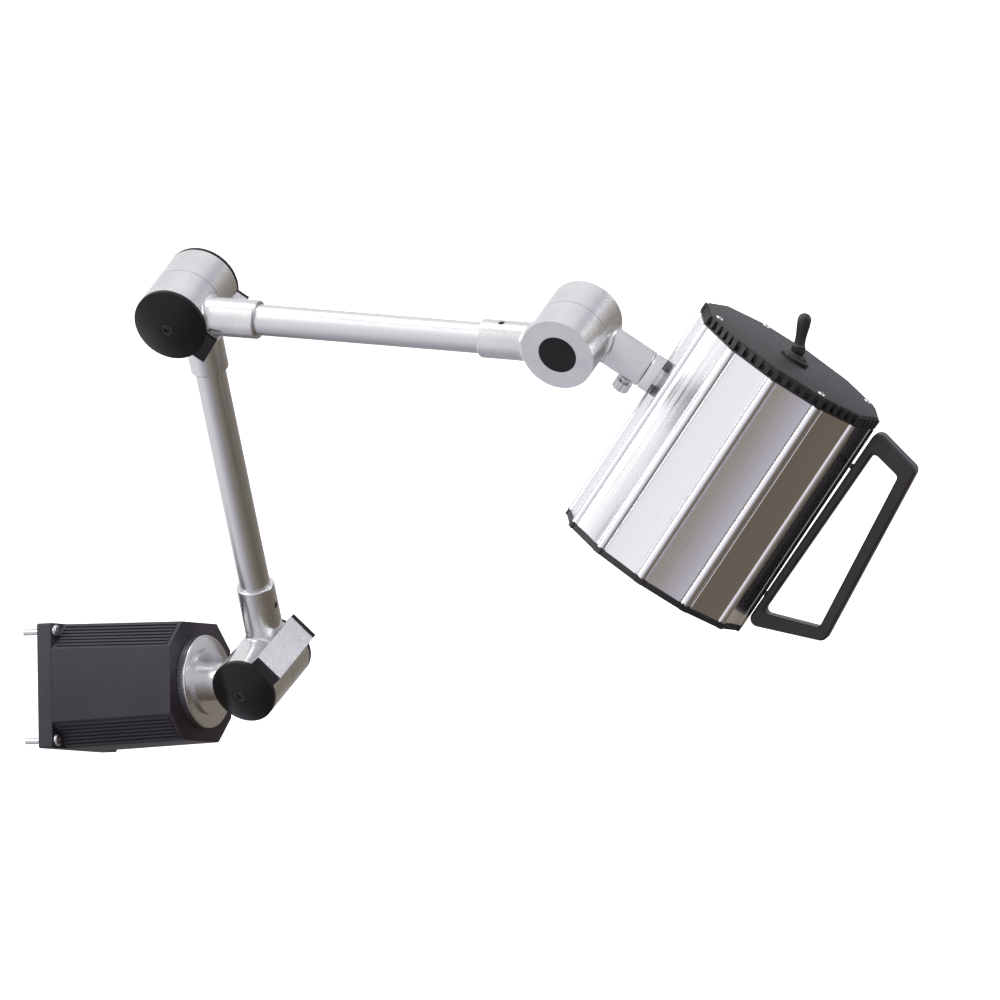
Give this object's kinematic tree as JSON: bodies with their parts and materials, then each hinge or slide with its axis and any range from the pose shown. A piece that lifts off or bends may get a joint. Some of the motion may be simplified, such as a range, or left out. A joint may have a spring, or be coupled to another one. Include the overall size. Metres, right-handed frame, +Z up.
{
  "type": "articulated machine work light",
  "caption": "Fluted round work-light head with a bail handle and toggle switch on a jointed friction arm with a screwed-on octagonal bracket box.",
  "frame": {"origin": "centre of the bracket's mounting face, in the middle of its stud pattern", "axes": "+X out of the mounting face along the bracket and the turret spin axis, +Z up, arms shown in a working pose"},
  "size_m": [0.6172, 0.2213, 0.2991],
  "materials": {
    "bracket_black": "fine textured black",
    "cover_black": "satin moulded black",
    "cap_black": "textured black",
    "handle_black": "satin black",
    "silver_casting": "satin silver lacquer",
    "silver_tube": "satin drawn",
    "head_aluminium": "anodised, brushed lengthwise",
    "steel": "zinc plated",
    "black_screws": "black oxide",
    "brass_screw": "dull",
    "friction_fibre": "fibre",
    "back_plate": "matt black",
    "transformer_core": "varnished laminations",
    "terminal_plastic": "moulded",
    "gland_plastic": "moulded",
    "lens": "clear tempered",
    "gasket": "moulded",
    "reflector_bright": "polished",
    "lamp_ceramic": "glazed ceramic",
    "lamp_glass": "clear capsule",
    "switch_plastic": "moulded",
    "boot_rubber": "moulded",
    "lever_metal": "plated"
  },
  "bodies": {
    "bracket": {"bracket_housing": "bracket_black", "bracket_back_plate": "back_plate", "mounting_screws": "steel", "transformer": "transformer_core", "transformer_frame": "steel", "transformer_screws": "steel", "terminal_block": "terminal_plastic", "terminal_screws": "steel", "cable_gland": "gland_plastic"},
    "turret": {"turret_knuckle": "silver_casting", "turret_set_screw": "brass_screw", "turret_nut": "steel", "turret_washer": "steel"},
    "lower_arm": {"base_rear_knuckle": "silver_casting", "elbow_rear_knuckle": "silver_casting", "lower_arm_tube": "silver_tube", "lower_arm_set_screws": "black_screws", "base_front_cover": "cover_black", "base_rear_cover": "cover_black", "elbow_rear_cover": "cover_black", "lower_arm_cover_screws": "black_screws", "lower_arm_friction_discs": "friction_fibre", "lower_arm_pivot_bolts": "steel", "lower_arm_pivot_nuts": "steel", "lower_arm_spring_washers": "steel"},
    "upper_arm": {"elbow_front_knuckle": "silver_casting", "wrist_front_knuckle": "silver_casting", "upper_arm_tube": "silver_tube", "upper_arm_set_screws": "black_screws", "elbow_front_cover": "cover_black", "upper_arm_cover_screw": "black_screws", "wrist_front_plug": "cover_black"},
    "wrist": {"wrist_rear_knuckle": "silver_casting", "wrist_rear_plug": "cover_black", "wrist_friction_discs": "friction_fibre", "wrist_pivot_bolts": "steel", "wrist_pivot_nuts": "steel", "wrist_spring_washers": "steel"},
    "thumb_screw": {"thumb_screw": "steel"},
    "head": {"head_mount": "silver_casting", "mount_nut": "steel", "head_shell": "head_aluminium", "bottom_bezel": "cap_black", "bezel_screws": "steel", "lens_glass": "lens", "lens_gasket": "gasket", "reflector": "reflector_bright", "lamp_holder": "lamp_ceramic", "lamp": "lamp_glass", "heat_shield": "steel", "vent_rim": "cap_black", "cap_plate": "cap_black", "cap_screws": "steel", "handle": "handle_black", "handle_screws": "black_screws", "switch_body": "switch_plastic", "switch_boot_base": "boot_rubber"},
    "toggle": {"toggle_lever": "lever_metal", "toggle_sheath": "boot_rubber"}
  },
  "joints": [
    {"name": "turret_spin", "type": "hinge", "parent": "bracket", "child": "turret", "pos_m": [0.0953, 0, 0], "axis": [1, 0, 0], "range_deg": [-170, 170]},
    {"name": "base_tilt", "type": "hinge", "parent": "turret", "child": "lower_arm", "pos_m": [0.1335, 0.01046, 0.00685], "axis": [0, -0.8368, -0.5476], "range_deg": [-75, 30]},
    {"name": "elbow_tilt", "type": "hinge", "parent": "lower_arm", "child": "upper_arm", "pos_m": [0.16853, -0.13247, 0.2253], "axis": [0.0519, -0.8319, -0.5525], "range_deg": [-30, 140]},
    {"name": "wrist_tilt", "type": "hinge", "parent": "upper_arm", "child": "wrist", "pos_m": [0.4209, -0.09662, 0.19502], "axis": [0.0519, -0.8319, -0.5525], "range_deg": [-60, 90]},
    {"name": "head_swivel", "type": "hinge", "parent": "wrist", "child": "head", "pos_m": [0.42025, -0.08622, 0.20193], "axis": [0.7036, 0.4231, -0.571], "range_deg": [-60, 100]},
    {"name": "thumb_screw_turn", "type": "hinge", "parent": "wrist", "child": "thumb_screw", "pos_m": [0.4374, -0.06469, 0.16545], "axis": [0.689, -0.2092, 0.6939], "continuous": true},
    {"name": "toggle_flip", "type": "hinge", "parent": "head", "child": "toggle", "pos_m": [0.54085, -0.02964, 0.18019], "axis": [-0.3529, 0.9219, 0.1597], "range_deg": [0, 44]}
  ]
}
